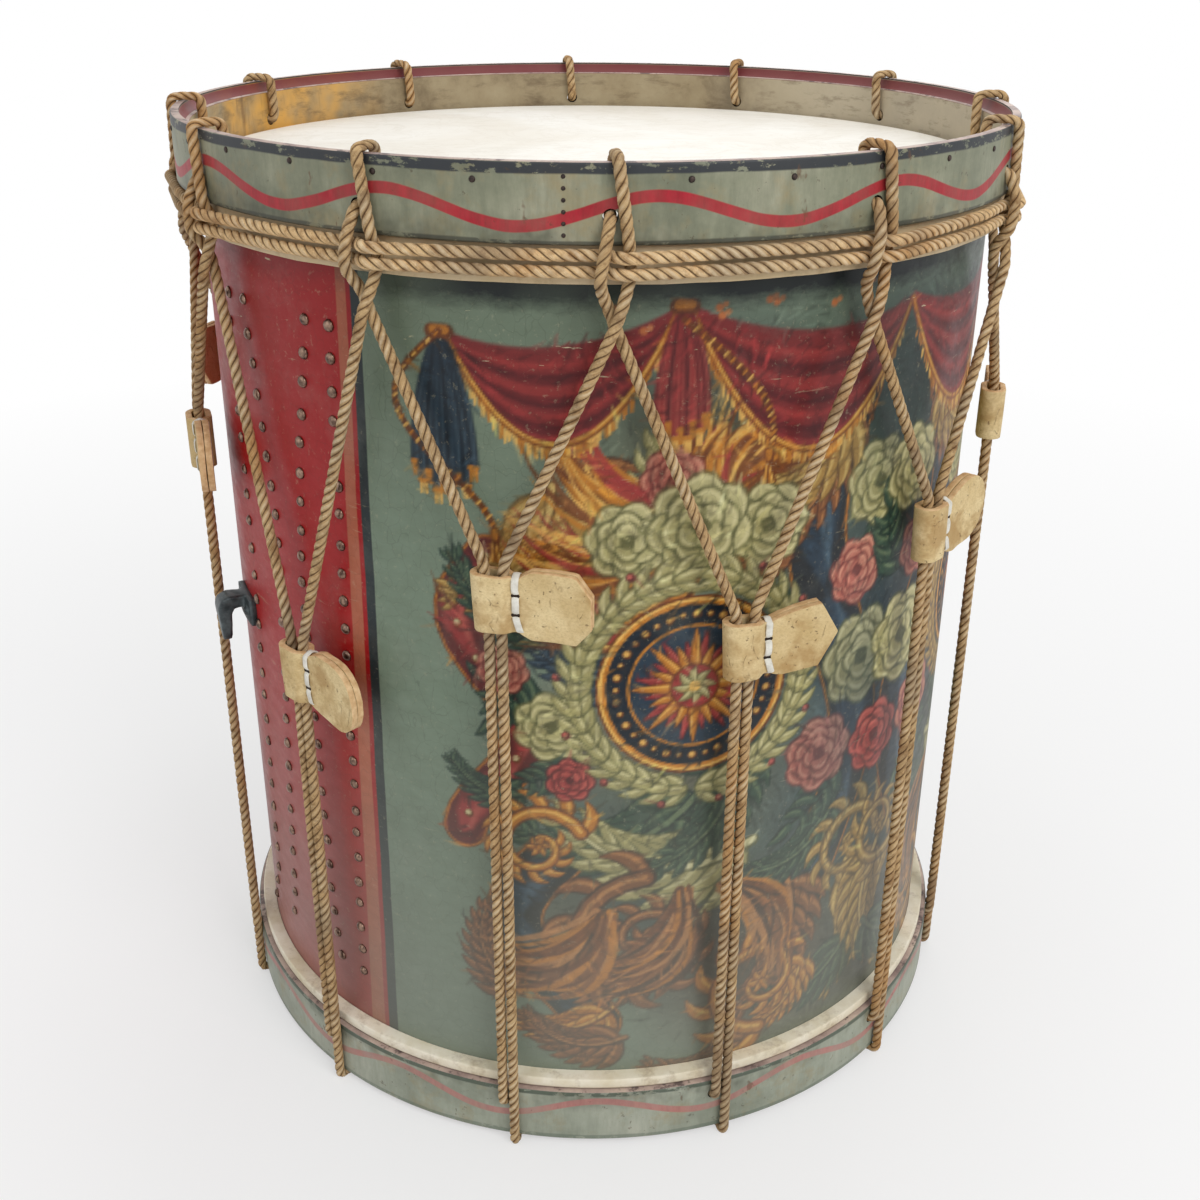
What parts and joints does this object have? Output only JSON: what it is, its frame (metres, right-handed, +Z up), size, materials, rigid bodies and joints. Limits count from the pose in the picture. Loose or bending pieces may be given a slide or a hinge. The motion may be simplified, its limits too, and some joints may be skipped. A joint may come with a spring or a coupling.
{
  "type": "rope-tensioned field drum",
  "caption": "Painted wooden drum shell with two calfskin heads under pierced counter hoops, laced with rope drawn together by sliding leather tugs.",
  "frame": {"origin": "on the floor, under the middle of the lower head, where the drum stands on the bights of its rope", "axes": "+Z up along the shell to the upper head; -Y is the side that faces the camera in the picture; +X to its right"},
  "size_m": [0.6722, 0.6722, 0.7664],
  "materials": {
    "shell_paint": "painted, aged varnish",
    "hoop_paint": "painted, worn",
    "bare_wood": "bare",
    "calfskin": "matt, mottled",
    "rope": "three-strand, dry",
    "buff_leather": "cracked, dry",
    "white_lace": "matt",
    "iron": "blackened",
    "brass": "dull"
  },
  "bodies": {
    "drum": {"shell": "shell_paint", "lower_lining_hoop": "bare_wood", "upper_lining_hoop": "bare_wood", "upper_head_skin": "calfskin", "upper_flesh_hoop": "bare_wood", "upper_counter_hoop": "hoop_paint", "lower_head_skin": "calfskin", "lower_flesh_hoop": "bare_wood", "lower_counter_hoop": "hoop_paint", "tension_rope_01": "rope", "tension_rope_02": "rope", "tension_rope_03": "rope", "tension_rope_04": "rope", "tension_rope_05": "rope", "tension_rope_06": "rope", "tension_rope_07": "rope", "tension_rope_08": "rope", "tension_rope_09": "rope", "tension_rope_10": "rope", "tension_rope_11": "rope", "tension_rope_12": "rope", "drag_rope": "rope", "sling_hook": "iron", "hook_rivet_01": "iron", "hook_rivet_02": "iron", "vent_bush": "brass"},
    "tug_01": {"leather_tug_01": "buff_leather", "tug_lace_01": "white_lace"},
    "tug_02": {"leather_tug_02": "buff_leather", "tug_lace_02": "white_lace"},
    "tug_03": {"leather_tug_03": "buff_leather", "tug_lace_03": "white_lace"},
    "tug_04": {"leather_tug_04": "buff_leather", "tug_lace_04": "white_lace"},
    "tug_05": {"leather_tug_05": "buff_leather", "tug_lace_05": "white_lace"},
    "tug_06": {"leather_tug_06": "buff_leather", "tug_lace_06": "white_lace"},
    "tug_07": {"leather_tug_07": "buff_leather", "tug_lace_07": "white_lace"},
    "tug_08": {"leather_tug_08": "buff_leather", "tug_lace_08": "white_lace"},
    "tug_09": {"leather_tug_09": "buff_leather", "tug_lace_09": "white_lace"},
    "tug_10": {"leather_tug_10": "buff_leather", "tug_lace_10": "white_lace"},
    "tug_11": {"leather_tug_11": "buff_leather", "tug_lace_11": "white_lace"},
    "tug_12": {"leather_tug_12": "buff_leather", "tug_lace_12": "white_lace"}
  },
  "joints": [
    {"name": "tug_01_slide", "type": "slide", "parent": "drum", "child": "tug_01", "axis": [0, 0, 1], "range_m": [-0.435, 0]},
    {"name": "tug_02_slide", "type": "slide", "parent": "drum", "child": "tug_02", "axis": [0, 0, 1], "range_m": [-0.385, 0]},
    {"name": "tug_03_slide", "type": "slide", "parent": "drum", "child": "tug_03", "axis": [0, 0, 1], "range_m": [-0.463, 0]},
    {"name": "tug_04_slide", "type": "slide", "parent": "drum", "child": "tug_04", "axis": [0, 0, 1], "range_m": [-0.092, 0]},
    {"name": "tug_05_slide", "type": "slide", "parent": "drum", "child": "tug_05", "axis": [0, 0, 1], "range_m": [-0.3, 0]},
    {"name": "tug_06_slide", "type": "slide", "parent": "drum", "child": "tug_06", "axis": [0, 0, 1], "range_m": [-0.393, 0]},
    {"name": "tug_07_slide", "type": "slide", "parent": "drum", "child": "tug_07", "axis": [0, 0, 1], "range_m": [-0.353, 0]},
    {"name": "tug_08_slide", "type": "slide", "parent": "drum", "child": "tug_08", "axis": [0, 0, 1], "range_m": [-0.402, 0]},
    {"name": "tug_09_slide", "type": "slide", "parent": "drum", "child": "tug_09", "axis": [0, 0, 1], "range_m": [-0.445, 0]},
    {"name": "tug_10_slide", "type": "slide", "parent": "drum", "child": "tug_10", "axis": [0, 0, 1], "range_m": [-0.37, 0]},
    {"name": "tug_11_slide", "type": "slide", "parent": "drum", "child": "tug_11", "axis": [0, 0, 1], "range_m": [-0.415, 0]},
    {"name": "tug_12_slide", "type": "slide", "parent": "drum", "child": "tug_12", "axis": [0, 0, 1], "range_m": [-0.345, 0]}
  ]
}
